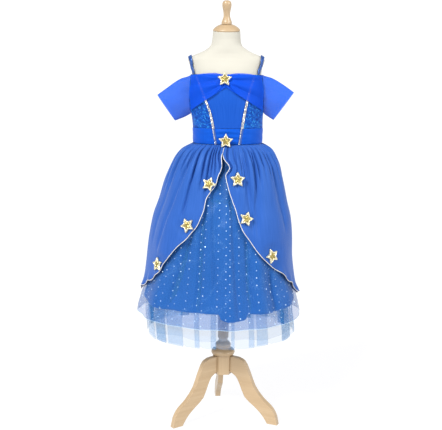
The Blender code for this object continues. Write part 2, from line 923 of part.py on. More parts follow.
def main():
    clear_scene()
    make_stand()
    make_form()
    make_bodice()
    make_drape()
    for side in ("right", "left"):
        make_sleeve(side)
        make_overskirt(side)
    make_straps()
    make_skirt_layers()
    for name in STARS:
        make_star(name)
    for piece in bpy.data.objects:
        piece.matrix_world = Matrix.Translation((POLE_X * MM, 0, 0)) @ piece.matrix_world


main()
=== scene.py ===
from math import atan2, cos, degrees, pi, radians, sin

import bpy
import numpy as np
from mathutils import Matrix, Vector


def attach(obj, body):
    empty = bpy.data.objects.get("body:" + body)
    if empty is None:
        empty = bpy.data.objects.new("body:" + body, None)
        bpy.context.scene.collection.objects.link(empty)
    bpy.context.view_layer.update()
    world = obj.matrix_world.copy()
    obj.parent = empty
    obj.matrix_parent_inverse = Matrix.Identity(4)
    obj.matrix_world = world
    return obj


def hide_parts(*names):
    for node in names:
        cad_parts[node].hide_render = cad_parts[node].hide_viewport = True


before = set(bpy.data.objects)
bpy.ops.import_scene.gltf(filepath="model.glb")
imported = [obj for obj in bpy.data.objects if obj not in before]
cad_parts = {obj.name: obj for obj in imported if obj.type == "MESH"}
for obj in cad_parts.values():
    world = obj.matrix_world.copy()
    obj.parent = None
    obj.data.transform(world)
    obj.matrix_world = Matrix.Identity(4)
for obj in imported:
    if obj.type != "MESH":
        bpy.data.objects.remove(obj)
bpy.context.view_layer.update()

# Costume dress on a dress form: the looks, in the same tables and axes as the solids.
# Tables hold millimetres and degrees; angles run from the front toward the wearer's left.

MM = 0.001
SIGN = {"right": -1, "left": 1}
PANEL = 1.6  # a bodice panel's thickness
CLEAR = 1.45  # and its room over the form
SKIRT_TOP = 846.7
GATHER_TOP = 846.0
BAND_BOTTOM = 847.0
BAND_MIDDLE = 870.0
BAND_TOP = 893.3
BODICE_TOP = 1046.0
STRAP_FOOT = 1047.2
FAN_HEIGHT = 1033.0  # where the bust drape's folds fan out from
BUST_STAR = (-4.0, 1031.0)
POLE_X = 15.0  # the pole stands this far to the wearer's left of the origin
HUB_TOP = 197.0
POLE_RADIUS = 16.5
POLE_BOTTOM = 250.0
FORM_BOTTOM = 642.0
NECK_FOOT = 1133.0
NECK_TOP = 1170.0
NECK_TILT = 7.0
LEG_ANGLES = {"leg_front_left": -24.5, "leg_back": 95.5, "leg_front_right": 215.5}
FOLD_MEAN = 5.0
STAR_NOTCH = 0.52
LEAST_WIDTH = 0.0105  # metres, the narrowest sheet width that declare() holds to
ROOM_RADIUS = 12.0  # metres
ROOM_HEIGHT = 3.6


class Table:
    """Rows of named columns, read between rows by a monotone cubic on the first column."""

    def __init__(self, columns, *rows):
        self.names = columns.split()
        self.rows = np.array(sorted(rows), dtype=float)

    def __call__(self, name, at):
        x = self.rows[:, 0]
        y = self.rows[:, self.names.index(name)]
        steps = np.diff(y) / np.diff(x)
        before = steps[:-1]
        after = steps[1:]
        same = before * after > 0
        inner = np.where(same, 2 * before * after / np.where(same, before + after, 1.0), 0.0)
        slopes = np.concatenate([steps[:1], inner, steps[-1:]])
        at = np.clip(at, x[0], x[-1])
        i = np.clip(np.searchsorted(x, at, side="right") - 1, 0, len(x) - 2)
        step = x[i + 1] - x[i]
        t = (at - x[i]) / step
        return (
            y[i] * (1 + 2 * t) * (1 - t) ** 2
            + slopes[i] * step * t * (1 - t) ** 2
            + y[i + 1] * t * t * (3 - 2 * t)
            - slopes[i + 1] * step * t * t * (1 - t)
        )


FORM = Table(
    "height right left depth",
    (642, 96, 98, 80), (660, 104, 106, 87), (700, 107, 109, 89), (740, 105, 109, 87),
    (780, 101, 107, 83), (820, 95, 105, 77), (846, 92, 105, 73), (893, 93, 106, 74),
    (930, 98, 107, 77), (970, 105, 109, 80), (1020, 104, 107, 75), (1045, 100, 103, 68),
    (1065, 103, 105, 60), (1080, 109, 110, 52), (1088, 111, 112, 48), (1094, 107, 108, 45),
    (1101, 94, 96, 43), (1107, 80, 82, 42), (1116, 61, 63, 42), (1133, 44, 44, 40),
    (1150, 41, 41, 38), (1170, 40, 40, 38),
)
SKIRT = Table(
    "height right left depth",
    (260, 254, 240, 190), (300, 258, 239, 190), (338, 262, 234, 190), (398, 255, 228, 188),
    (430, 244, 216, 184), (492, 232, 207, 179), (575, 220, 201, 171), (630, 209, 195, 163),
    (678, 192, 184, 153), (736, 175, 172, 140), (786, 153, 158, 124), (805, 143, 149, 116),
    (825, 128, 137, 104), (840, 107, 120, 88), (846, 97, 111, 80),
)
FULLNESS = Table(
    "height gather fold overlay_ripple satin_ripple",
    (260, 0, 1.0, 2.2, 1.5), (398, 0, 1.0, 2.2, 1.3), (500, 0, 0.7, 1.8, 1.0),
    (600, 0.25, 0.5, 1.5, 0.8), (678, 0.8, 0.35, 1.3, 0.7), (736, 1.7, 0.2, 1.2, 0.6),
    (786, 3.2, 0.05, 0.9, 0.5), (825, 3.0, 0, 0.5, 0.3), (840, 1.2, 0, 0.2, 0.1),
    (847, 0.25, 0, 0.1, 0.1),
)
DEPTH_IN = Table(
    "height overlay satin net_outer net_inner",
    (260, 2.0, 20, 25.0, 31.0), (338, 2.5, 18, 26.0, 33.0), (398, 8.5, 16.5, 24.5, 31.5),
    (500, 7.8, 14.8, 21.8, 28.8), (600, 7.0, 13, 19.5, 26.0), (680, 6.0, 11, 16.5, 18.2),
    (700, 6.0, 11, 14.0, 15.4), (786, 6.2, 9.8, 12.0, 15.0), (825, 5.6, 8.4, 12.0, 15.0),
    (840, 3.2, 5.3, 12.0, 15.0), (847, 1.9, 3.5, 12.0, 15.0),
)
LONG_FOLDS = (
    (-165, 4, 14), (-140, 5, 13), (-115, 5, 14), (-88, 6, 12), (-52, 6, 12), (-20, 3, 9), (8, 4, 9),
    (33, 4, 10), (60, 6, 12), (86, 6, 12), (112, 5, 14), (138, 5, 13), (162, 4, 13),
)
CREASES_LEFT = (0, 5, 12, 18, 24, 30, 37, 44, 52, 60, 70, 80, 91, 102, 113, 124, 135, 146, 157, 168, 180)
CREASES_RIGHT = (0, 5.5, 11, 14.7, 18, 23.6, 34, 43, 53, 66, 79, 92, 103, 114, 125, 136, 147, 158, 169, 180)
EDGE_LEFT = Table(
    "angle height",
    (0, 822), (2, 797), (3, 765), (4.5, 735), (6, 704), (9.5, 672), (12, 640), (16.4, 604),
    (24, 570), (35, 523), (41, 504), (50, 489), (59, 463), (72, 436), (84, 402), (95, 396),
    (180, 394),
)
EDGE_RIGHT = Table(
    "angle height",
    (0, 826), (2.2, 811), (3.5, 789), (7.4, 760), (8.7, 741), (13.6, 717), (16.8, 695), (17.8, 665),
    (19, 650), (21.7, 624), (27, 602), (30, 587), (36, 562), (45, 524), (50, 507), (53, 482),
    (60, 460), (73, 437), (90, 407), (100, 397), (180, 394),
)
OVERLAY_HEM = Table(
    "angle height", (-180, 330), (-90, 338), (-60, 334), (0, 327), (60, 331), (90, 339), (180, 330)
)
NET_HEM = Table(
    "angle height", (-180, 267), (-90, 276), (-50, 266), (0, 263), (50, 267), (90, 275), (180, 267)
)
NET_INNER_HEM = 286.0
NET_TOP = 700.0
NET_INNER_TOP = 692.0
SEAMS = Table(
    "height right left",
    (847, 26, 39), (890, 33, 45), (940, 44, 53), (975, 57, 60), (1039, 82, 77), (1048, 85, 80),
)
SATIN_HEM = Table(
    "angle height",
    (-180, 372), (-90, 385), (-60, 372), (-42, 372), (40, 367), (60, 372), (90, 385), (180, 372),
)
SATIN_PLEAT = Table(
    "angle drop",
    (-180, 0), (-3.2, 0), (-1.8, -15), (5, -22), (12, -19), (17.6, -14), (19.0, 0), (180, 0),
)
# How far the outer net's pleats reach in and out
PLEAT = Table("height pleat", (260, 1.9), (340, 1.7), (500, 1.1), (660, 0.6), (700, 0.3))
TRIM = Table("height out", (847, 5.0), (894.5, 5.0), (899, 3.7), (1046, 3.7))
# How far the front edges sway toward the wearer's left, in degrees
SWAY = Table(
    "height right left",
    (700, 0, 0), (735, 0, -2.0), (765, 0, -2.7), (776, 0, 0.4), (786, 0, 2.2), (797, -0.8, 0.0),
    (808, -2.0, -2.8), (822, -3.2, -3.2), (835, -2.5, -2.5), (847, -0.5, -0.5),
)
# Troughs and ridges of the overskirt: angle and height of the start and of the end, height, width
OVERSKIRT_FOLDS = (
    (-37, 800, -51.5, 500, 4.0, 13), (-46, 790, -60, 560, -3.0, 14), (-33, 800, -38, 640, -3.0, 8),
    (-46.5, 835, -45, 735, -2.6, 5), (-18, 830, -18.4, 715, -2.6, 5), (-25, 835, -24, 765, -2.0, 4),
    (-66, 820, -74, 600, -2.6, 12), (14, 815, 15.5, 700, 2.2, 6), (20, 830, 24.5, 640, -4.2, 7),
    (29, 820, 26.8, 690, 2.6, 5), (34, 835, 28.8, 640, -4.6, 7), (46, 800, 44, 560, 3.0, 14),
    (58, 830, 63, 640, -3.2, 10), (74, 800, 78, 560, 2.4, 12), (88, 810, 92, 520, -3.0, 12),
    (110, 830, 104, 600, -3.0, 10), (127, 820, 131, 500, 3.0, 13), (146, 830, 142, 620, -3.0, 9),
    (163, 820, 168, 540, -3.4, 10), (-92, 820, -96, 500, 3.0, 12), (-104, 830, -112, 620, -3.0, 9),
    (-128, 820, -124, 540, -3.2, 11), (-147, 820, -150, 480, 3.0, 12),
    (-160, 830, -166, 600, -3.2, 9),
)
# The same for the layers that show in the open front
FRONT_FOLDS = (
    (-18.1, 700, -18.3, 345, -3.2, 11), (-10, 680, -9.2, 470, 2.6, 6),
    (-13, 720, -6.4, 440, -2.6, 7), (5.4, 720, 11.6, 360, -2.4, 10), (1, 640, 2, 350, 2.2, 12),
    (-27, 600, -43, 380, -3.4, 12), (19.6, 600, 22.4, 350, -3.0, 12), (31, 540, 33, 345, 3.0, 12),
    (43, 500, 44.5, 345, -3.4, 9), (-52, 470, -55, 345, 3.0, 11), (62, 460, 64, 345, 2.6, 11),
)
# Pleats of the outer net: where each starts and ends, and the net's layers in it
NET_PLEATS = (
    (-171, -166, 3), (-152, -145, 5), (-131, -128, 3), (-113, -104, 5), (-90, -87, 3),
    (-78, -61, 3), (-58.5, -46, 5), (-44, -30, 3), (-20.6, -17, 3), (-9, -5, 3), (6, 8.5, 3),
    (20.2, 24.5, 3), (27, 36.7, 3), (53.5, 69, 5), (81, 86, 5), (98, 102, 3), (117, 127, 5),
    (139, 142, 3), (156, 163, 5),
)
# Where stars are sewn on: across and up
STAR_PLACES = ((35, 753), (61, 645), (137, 534), (-45, 740), (-106, 623), (-192, 499))
# Rings of a stuffed star, from its back edge to its middle: share of its radius, height
STAR_RINGS = (
    (0.96, 0.0), (0.985, 0.5), (1.0, 1.9), (0.985, 3.4), (0.94, 4.9), (0.86, 6.1), (0.77, 6.6), (0.69, 6.3),
    (0.62, 5.2), (0.57, 4.0), (0.54, 3.7), (0.50, 4.2), (0.44, 4.9), (0.34, 5.3), (0.2, 5.3), (0.08, 5.2),
)
SLEEVES = {
    "right": Table(
        "share across middle width depth lean",
        (0, 104, 990, 112, 44, 0), (0.3, 127, 977, 106, 42, 16),
        (0.65, 151, 962, 98, 36, 27), (1, 175, 948, 91, 28, 35),
    ),
    "left": Table(
        "share across middle width depth lean",
        (0, 107, 996, 104, 44, 0), (0.3, 127, 984, 104, 42, 16),
        (0.65, 149, 970, 102, 36, 28), (1, 170, 956, 100, 28, 36),
    ),
}
# Turned wood: radius and height, the cap's and the handle's heights from the neck's top
CAP_PROFILE = (
    (38.3, 0.4), (39.5, 2.2), (39.0, 4.4), (36.5, 7.6), (32, 11.5), (26, 15.4), (19, 18.4), (14, 19.6),
)
HANDLE_PROFILE = (
    (15.3, 20), (14.9, 26), (12.2, 33), (9.9, 41), (9.6, 48), (10.6, 57),
    (12.4, 65), (13.4, 72), (13.1, 78), (10.6, 83.5), (6.5, 86.3), (3.2, 87),
)
COLLAR_PROFILE = (
    (30, HUB_TOP + 0.3), (34, 199), (36, 204), (35.4, 209), (32, 213), (27, 216.5), (23.2, 220),
    (23, 223), (24.2, 227), (23, 231), (19, 236), (15, 240), (13.6, 244), (14.3, POLE_BOTTOM - 0.3),
)
# Short names for the shader's own values
SOCKETS = {
    "base": "Base Color", "roughness": "Roughness", "metallic": "Metallic", "alpha": "Alpha",
    "gloss": "Specular IOR Level", "gloss_tint": "Specular Tint",
    "sheen": "Sheen Weight", "sheen_roughness": "Sheen Roughness", "sheen_tint": "Sheen Tint",
    "coat": "Coat Weight", "coat_roughness": "Coat Roughness",
    "glow": "Emission Color", "glow_strength": "Emission Strength",
}


# Shapes


def wave(turn):
    """The sine of an angle in degrees."""
    return np.sin(np.radians(turn))


def bell(away, width):
    """From 1 in the middle down to nothing on both sides."""
    return np.exp(-((away / width) ** 2))


def unit(vectors):
    return vectors / np.linalg.norm(vectors, axis=-1, keepdims=True)


def gaps(points, axis=0):
    """Distances between neighbours along a line of points, or along one direction of a grid."""
    return np.linalg.norm(np.diff(points, axis=axis), axis=-1)


def summed(distances):
    """How far along each point lies, from the distances between them."""
    return np.concatenate([[0], np.cumsum(distances)])


def ringed(points):
    """A round grid with its first column once more at its end."""
    return np.concatenate([points, points[:, :1]], axis=1)


def base_point(shape, angle, height):
    angle, height = np.broadcast_arrays(np.asarray(angle, float), np.asarray(height, float))
    a = np.radians(angle)
    reach = np.where(np.sin(a) > 0, shape("left", height), shape("right", height))
    return np.stack([reach * np.sin(a), -shape("depth", height) * np.cos(a), height], axis=-1)


def outward(shape, angle, height):
    across = base_point(shape, angle + 1, height) - base_point(shape, angle - 1, height)
    up = base_point(shape, angle, height + 2) - base_point(shape, angle, height - 2)
    return unit(np.cross(across, up))


def moved_out(shape, angle, height, distance):
    """Points of the shape's surface, moved out from it, in millimetres."""
    return base_point(shape, angle, height) + np.asarray(distance)[..., None] * outward(shape, angle, height)


def wrapped(angle):
    return (angle + 180) % 360 - 180


def smooth(low, high, at):
    t = np.clip((at - low) / (high - low), 0, 1)
    return t * t * (3 - 2 * t)


def long_folds(angle):
    total = -FOLD_MEAN + 0 * angle
    for middle, height, width in LONG_FOLDS:
        total = total + height * bell(wrapped(angle - middle), width)
    return total


def laid_folds(folds, angle, height):
    """The listed troughs and ridges, each fading in below its start and out above its end."""
    total = 0.0 * angle
    for start, top, end, bottom, tall, width in folds:
        share = np.clip((top - height) / (top - bottom), 0, 1)
        middle = start + (end - start) * share
        away = wrapped(angle - middle) / width * 1.8 / (1 + 0.5 * share)
        shape = np.exp(-(away**2))
        if tall < 0:
            shape = 0.45 * np.exp(-(np.abs(1.5 * away) ** 1.2)) + 0.75 * np.exp(-((4.0 * away) ** 2))
        rise = smooth(top + 12, top - 25, height) * smooth(bottom - 60, bottom + 60, height)
        total = total + tall * rise * shape
    return total


def tube_wave(angle, creases):
    """From -1 in each crease to 1 on the rounded fold between, less for a narrow fold."""
    creases = np.array(creases, float)
    i = np.clip(np.searchsorted(creases, angle, side="right") - 1, 0, len(creases) - 2)
    low = creases[i]
    high = creases[i + 1]
    middle = np.abs(2 * (angle - low) / (high - low) - 1)
    return (1 - 2 * middle**3) * np.minimum(1.0, np.sqrt((high - low) / 11))


def calm(angle, height):
    """From 0 where a star is sewn on to 1 away from it, so that folds don't rise into it."""
    x = base_point(SKIRT, angle, height)[..., 0]
    far = np.full(x.shape, 1000.0)
    for across, z in STAR_PLACES:
        far = np.minimum(far, np.hypot(x - across, height - z))
    return np.where(np.abs(angle) < 90, smooth(20, 42, far), 1.0)


def gathers(angle, height, creases, seed):
    """Rounded folds between the creases, and the creases themselves, each of its own length."""
    seeded = np.random.RandomState(seed)
    below = np.maximum(GATHER_TOP - height, 0)
    main = list(creases[1:-1])
    between = [(a + b) / 2 + 1.2 * seeded.randn() for a, b in zip(creases, creases[1:]) if b - a > 5.5]
    tall = 0.9 + 0.5 * wave(angle * 7.3 + 50 * seed)
    total = 2.5 * tall * (FULLNESS("gather", height) * tube_wave(angle, creases) * smooth(150, 30, below))
    for k, middle in enumerate(main + between):
        minor = k >= len(main)
        reach = (35 + 35 * seeded.rand()) if minor else (60 + 65 * seeded.rand() ** 1.5)
        depth = (2.4 + 2.0 * seeded.rand()) if minor else (5.0 + 3.5 * seeded.rand())
        drift = 1.6 * seeded.randn()
        width = 0.7 + 0.3 * seeded.rand() + below / 90
        centre = middle + drift * (below / 110) ** 1.5
        strength = smooth(0, 16, below) * bell(below, reach)
        total = total - depth * strength * np.exp(-(np.abs((angle - centre) / width) ** 1.2))
    return total


def ripple(angle, count, sway):
    return wave(angle * count + sway * wave(3 * angle) * 20)


def skirt_point(angle, height, inward, own):
    return moved_out(SKIRT, angle, height, FULLNESS("fold", height) * long_folds(angle) - inward + own)


def smooth_line(corners, steps):
    """More points through a profile's corners, on a curve through them all."""
    corners = np.array(corners, float)
    ends = np.concatenate([[2 * corners[0] - corners[1]], corners, [2 * corners[-1] - corners[-2]]])
    points = []
    for a, b, c, d in zip(ends, ends[1:], ends[2:], ends[3:]):
        square = 2 * a - 5 * b + 4 * c - d
        cube = 3 * b - a - 3 * c + d
        for t in np.arange(steps) / steps:
            points.append(0.5 * (2 * b + (c - a) * t + square * t**2 + cube * t**3))
    points.append(corners[-1])
    return np.array(points)


# Meshes


def link(obj):
    bpy.context.scene.collection.objects.link(obj)
    return obj


def add_mesh(name, points, faces, finishes, uv=None, face_finish=None):
    """An object from millimetre points about the pole, moved to where the pole stands."""
    name = "fine_" + name.replace(" ", "_")
    mesh = bpy.data.meshes.new(name)
    placed = (np.asarray(points, float).reshape(-1, 3) + (POLE_X, 0, 0)) * MM
    mesh.from_pydata([tuple(p) for p in placed], [], [tuple(int(v) for v in f) for f in faces])
    for finish in finishes if isinstance(finishes, list) else [finishes]:
        mesh.materials.append(finish)
    if uv is not None:
        layer = mesh.uv_layers.new(name="cloth")
        loops = np.array([v for f in faces for v in f])
        layer.data.foreach_set("uv", np.asarray(uv, float).reshape(-1, 2)[loops].ravel())
    if face_finish is not None:
        mesh.polygons.foreach_set("material_index", np.asarray(face_finish, dtype=np.int32))
    mesh.update()
    mesh.shade_smooth()
    obj = link(bpy.data.objects.new(name, mesh))
    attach(obj, "root")
    return obj


def takes_place(obj):
    """The piece stands for the solid that it is named after: that solid is hidden."""
    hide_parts(obj.name.removeprefix("fine_"))


def grid_faces(rows, columns, closed=False):
    faces = []
    for r in range(rows - 1):
        for c in range(columns if closed else columns - 1):
            d = (c + 1) % columns
            faces.append((r * columns + c, (r + 1) * columns + c, (r + 1) * columns + d, r * columns + d))
    return faces


def lengths(points):
    """UVs in metres along a grid of cloth: across from its middle column, down from its top."""
    u = summed(gaps(points, 1).mean(axis=0))
    v = summed(gaps(points).mean(axis=1))
    return np.stack(np.broadcast_arrays((u - u.mean())[None, :], v[:, None]), axis=-1) * MM


def cloth(name, points, finish, thick=0.0, closed=False):
    """A cloth sheet through a grid of points, rows down it and columns toward the left."""
    rows, columns = points.shape[:2]
    obj = add_mesh(name, points, grid_faces(rows, columns, closed), finish, lengths(points))
    if thick:
        solid = obj.modifiers.new("thickness", "SOLIDIFY")
        solid.thickness = thick * MM
        solid.offset = -1.0
    takes_place(obj)
    return obj


def flat_size(points):
    """The cut's width and length, in metres, and its area when laid flat."""
    points = points * MM
    a = points[:-1, :-1]
    c = points[1:, 1:]
    halves = [np.cross(b - a, c - a) for b in (points[1:, :-1], points[:-1, 1:])]
    area = sum(np.linalg.norm(half, axis=2) for half in halves).sum() / 2
    return float(gaps(points, 1).sum(axis=1).max()), float(gaps(points).sum(axis=0).max()), float(area)


def declare(points):
    width, length, area = flat_size(points)
    width = max(width, LEAST_WIDTH)
    area = min(max(area, 0.31 * width * length), width * length)


def tube(name, line, radius, sides, finish, closed=False):
    """A round cord through a line of points."""
    if closed:
        along = unit(np.roll(line, -1, axis=0) - np.roll(line, 1, axis=0))
    else:
        along = unit(np.gradient(line, axis=0))
    side = np.cross(along, (0.0, 0.0, 1.0))
    short = np.linalg.norm(side, axis=1) < 0.2
    side[short] = np.cross(along[short], (0.0, 1.0, 0.0))
    side = unit(side)
    rise = np.cross(side, along)
    turns = (np.arange(sides) * 2 * pi / sides)[None, :, None]
    rings = line[:, None] + radius * (side[:, None] * np.cos(turns) + rise[:, None] * np.sin(turns))
    faces = []
    count = len(line)
    for r in range(count if closed else count - 1):
        q = (r + 1) % count
        for k in range(sides):
            j = (k + 1) % sides
            faces.append((r * sides + k, r * sides + j, q * sides + j, q * sides + k))
    round_it = np.linspace(0, 2 * pi * radius, sides)[None, :]
    uv = np.stack(np.broadcast_arrays(round_it, summed(gaps(line))[:, None]), axis=-1) * MM
    return add_mesh(name, rings, faces, finish, uv)


def turned(name, profile, sides, finish):
    """A turned piece about the pole from (radius, height) pairs, bottom first, with closed ends."""
    profile = np.array(profile, float)
    turns = np.arange(sides) * 2 * pi / sides
    heights = np.repeat(profile[:, 1:], sides, axis=1)
    rings = np.stack([profile[:, :1] * np.cos(turns), profile[:, :1] * np.sin(turns), heights], axis=-1)
    rows = len(profile)
    faces = [f[::-1] for f in grid_faces(rows, sides, True)]
    faces.append(tuple(range(sides))[::-1])
    faces.append(tuple((rows - 1) * sides + k for k in range(sides)))
    obj = add_mesh(name, rings, faces, finish)
    takes_place(obj)
    return obj


def add_disc(points, faces, peak, rim):
    """A small disc: a fan from its peak to the points of its rim."""
    start = len(points)
    sides = len(rim)
    points += [peak, *rim]
    faces += [(start, start + 1 + j, start + 1 + (j + 1) % sides) for j in range(sides)]


# Materials


class Paint:
    """A new material, with the shader's own values and short ways to add nodes before it."""

    def __init__(self, name, **values):
        self.material = bpy.data.materials.new(name)
        self.material.use_nodes = True
        self.tree = self.material.node_tree
        self.shader = self.tree.nodes["Principled BSDF"]
        self.fill(self.shader, {SOCKETS[key]: value for key, value in values.items()})

    def fill(self, node, inputs):
        """Sets a node's inputs, or links them where another node's output is given."""
        for socket, value in inputs.items():
            if isinstance(value, bpy.types.NodeSocket):
                self.tree.links.new(value, node.inputs[socket])
            else:
                node.inputs[socket].default_value = value

    def node(self, kind, inputs, **settings):
        made = self.tree.nodes.new("ShaderNode" + kind)
        for setting, value in settings.items():
            setattr(made, setting, value)
        self.fill(made, inputs)
        return made.outputs

    def uv(self):
        return self.node("TexCoord", {})["UV"]

    def place(self):
        return self.node("TexCoord", {})["Object"]

    def stretched(self, vector, scale):
        return self.node("Mapping", {"Vector": vector, "Scale": scale})["Vector"]

    def noise(self, vector, scale, detail=2.0, rough=0.5):
        inputs = {"Vector": vector, "Scale": scale, "Detail": detail, "Roughness": rough}
        return self.node("TexNoise", inputs)["Fac"]

    def cells(self, vector, scale):
        return self.node("TexVoronoi", {"Vector": vector, "Scale": scale})

    def between(self, value, low, high):
        """A value's share of the way from low to high, held between 0 and 1."""
        return self.node("MapRange", {"Value": value, "From Min": low, "From Max": high})["Result"]

    def times(self, a, b):
        return self.node("Math", {0: a, 1: b}, operation="MULTIPLY")[0]

    def mix(self, share, low, high):
        """A colour that runs from one to the other with a share from 0 to 1."""
        low, high = ((*c, 1) if isinstance(c, tuple) else c for c in (low, high))
        return self.node("Mix", {0: share, 6: low, 7: high}, data_type="RGBA")[2]

    def colour(self, share, low, high):
        self.fill(self.shader, {"Base Color": self.mix(share, low, high)})

    def weave(self, vector, threads):
        """Crossing threads, a number to the metre, as a height."""
        inputs = {"Vector": vector, "Scale": threads / 3.14}
        across, along = (self.node("TexWave", inputs, bands_direction=turn)["Fac"] for turn in "XY")
        return self.times(across, along)

    def bump(self, height, distance, strength=0.4):
        inputs = {"Height": height, "Distance": distance, "Strength": strength}
        self.fill(self.shader, {"Normal": self.node("Bump", inputs)["Normal"]})


def satin(name, low, high, roughness=0.42):
    """Matte satin: an even colour with faint long streaks of its weave."""
    tints = {"sheen_tint": (0.25, 0.50, 1.0, 1), "gloss_tint": (0.35, 0.60, 1.0, 1)}
    paint = Paint(name, roughness=roughness, sheen=0.22, sheen_roughness=0.4, gloss=0.22, **tints)
    uv = paint.uv()
    streaks = paint.noise(paint.stretched(uv, (260, 14, 1)), 1.0, 3.0)
    paint.colour(paint.between(streaks, 0.3, 0.7), low, high)
    paint.bump(paint.weave(uv, 1400), 0.00012, 0.25)
    return paint.material


def net(name, low, high, alpha, roughness=0.6, hole=0.0012):
    """Fine sheer net: an even see-through share, with its mesh as faint cells."""
    paint = Paint(name, alpha=alpha, roughness=roughness, sheen=0.0, gloss=0.12)
    inputs = {"Vector": paint.uv(), "Scale": 1 / hole, "Randomness": 0.25}
    cells = paint.node("TexVoronoi", inputs, feature="DISTANCE_TO_EDGE")
    paint.colour(paint.between(cells["Distance"], 0.0, 0.35), high, low)
    return paint.material


def sparkle_net():
    """Sheer tulle with swirls of fine glitter; its larger foil dots are pieces of their own."""
    paint = Paint("sparkle net", alpha=0.46, roughness=0.5, sheen=0.25, gloss=0.35)
    uv = paint.uv()
    inputs = {"Vector": uv, "Scale": 6.0, "Distortion": 14.0, "Detail": 2.0, "Detail Scale": 1.2}
    swirls = paint.node("TexWave", inputs, bands_direction="DIAGONAL")["Fac"]
    specks = paint.between(paint.cells(uv, 420.0)["Distance"], 0.34, 0.16)
    glitters = paint.times(paint.between(swirls, 0.86, 0.97), specks)
    paint.colour(glitters, (0.008, 0.115, 0.400), (0.22, 0.48, 0.85))
    return paint.material


def velvet():
    """Crushed blue pile printed all over with small foil flecks."""
    paint = Paint("sequin velvet", roughness=0.5, gloss=0.12)
    uv = paint.uv()
    nap = paint.noise(uv, 150.0, 3.0)
    pile = paint.mix(paint.between(nap, 0.35, 0.65), (0.001, 0.036, 0.24), (0.004, 0.090, 0.46))
    bend = paint.node("VectorMath", {0: paint.noise(uv, 60.0, 1.0), 3: 0.012}, operation="SCALE")[0]
    warped = paint.node("VectorMath", {0: uv, 1: bend}, operation="ADD")[0]
    flecks = paint.cells(paint.stretched(warped, (1.0, 0.6, 1.0)), 300.0)["Distance"]
    patch = paint.between(paint.noise(uv, 90.0), 0.46, 0.56)
    paint.colour(paint.times(paint.between(flecks, 0.45, 0.28), patch), pile, (0.03, 0.27, 0.66))
    paint.bump(nap, 0.0006, 0.5)
    return paint.material


def glitter(name, low, high, scale, metallic=0.3, roughness=0.35, by_uv=True):
    """Closely set flecks, each its own shade."""
    paint = Paint(name, metallic=metallic, roughness=roughness)
    cells = paint.cells(paint.uv() if by_uv else paint.place(), scale)
    paint.colour(paint.node("SeparateColor", {0: cells["Color"]})[0], low, high)
    paint.bump(cells["Distance"], 0.0004, 0.5)
    return paint.material


def foil(name, low, high, roughness=0.3, metallic=0.85):
    """Padded metallic foil with fine crinkles; its colour runs darker in their hollows and paler on their
    crests, painted shade and highlight.
    """
    paint = Paint(name, metallic=metallic, roughness=roughness)
    crinkle = paint.noise(paint.place(), 260.0, 4.0, 0.6)
    # Painted shade and highlight: the colour follows the crinkles' height, darker low and paler high.
    paint.colour(paint.between(crinkle, 0.3, 0.7), low, high)
    paint.bump(crinkle, 0.0009, 0.5)
    return paint.material


def jersey():
    """Cream knit stretched over the form."""
    paint = Paint("cream jersey", roughness=0.85, sheen=0.1, gloss=0.2)
    paint.colour(paint.noise(paint.place(), 14.0, 3.0), (0.475, 0.458, 0.395), (0.510, 0.492, 0.430))
    paint.bump(paint.weave(paint.uv(), 900), 0.0002, 0.3)
    return paint.material


def wood(name, turn=0.0, along="X"):
    """Pale lacquered wood, its grain along one axis of the part after a turn about the pole."""
    paint = Paint(name, roughness=0.38, coat=0.25, coat_roughness=0.2)
    way = 1 if along == "X" else -1
    inputs = {"Vector": paint.place(), "Rotation": (0, 0, -radians(turn))}
    along_leg = paint.node("Mapping", inputs)["Vector"]
    grain_place = paint.stretched(along_leg, (3.0, 38.0, 38.0)[::way])
    grain = paint.between(paint.noise(grain_place, 1.6, 3.0), 0.25, 0.62)
    fine = paint.noise(paint.stretched(grain_place, (2.0, 9.0, 9.0)[::way]), 1.5)
    both = paint.times(grain, paint.between(fine, 0.1, 0.6))
    paint.colour(both, (0.40, 0.280, 0.158), (0.46, 0.335, 0.200))
    paint.bump(fine, 0.0002, 0.2)
    return paint.material


def plain(name, colour, roughness=0.9):
    return Paint(name, base=(*colour, 1), roughness=roughness, gloss=0.1).material


# Skirt


def sunk(height):
    """How much further in the hidden layers lie, to leave room for the creases over them."""
    return 4.2 * smooth(700, 745, height) * smooth(838, 795, height)


